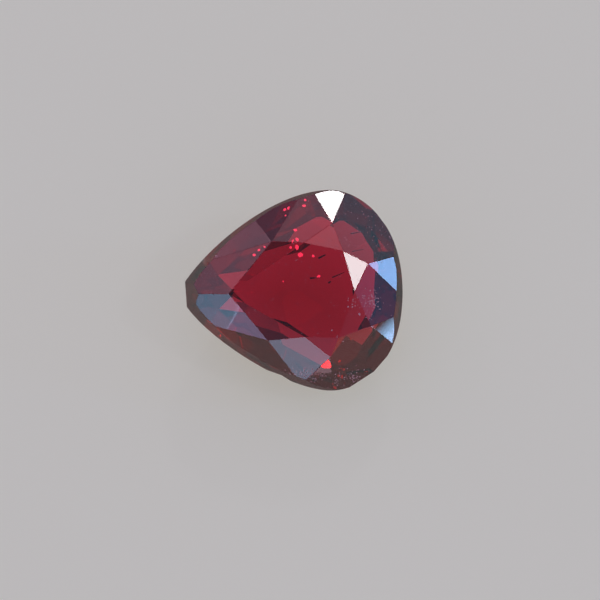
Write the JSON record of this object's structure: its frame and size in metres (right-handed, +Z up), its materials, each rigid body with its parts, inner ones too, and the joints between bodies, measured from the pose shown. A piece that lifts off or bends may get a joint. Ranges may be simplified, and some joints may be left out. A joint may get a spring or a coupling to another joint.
{
  "type": "faceted garnet",
  "caption": "Faceted pear-cut garnet gemstone, deep red and see-through, lying on one facet of its underside with its table facing up.",
  "frame": {"origin": "middle of the stone's footprint, on the surface that it lies on", "axes": "+X from the blunt tip toward the round head, +Y across the stone, +Z up; the table leans toward -Y"},
  "size_m": [0.0106, 0.0092, 0.0058],
  "materials": {
    "garnet": "polished transparent deep red garnet with faint scratches and a few inclusions"
  },
  "bodies": {
    "root": {"garnet": "garnet"}
  },
  "joints": []
}
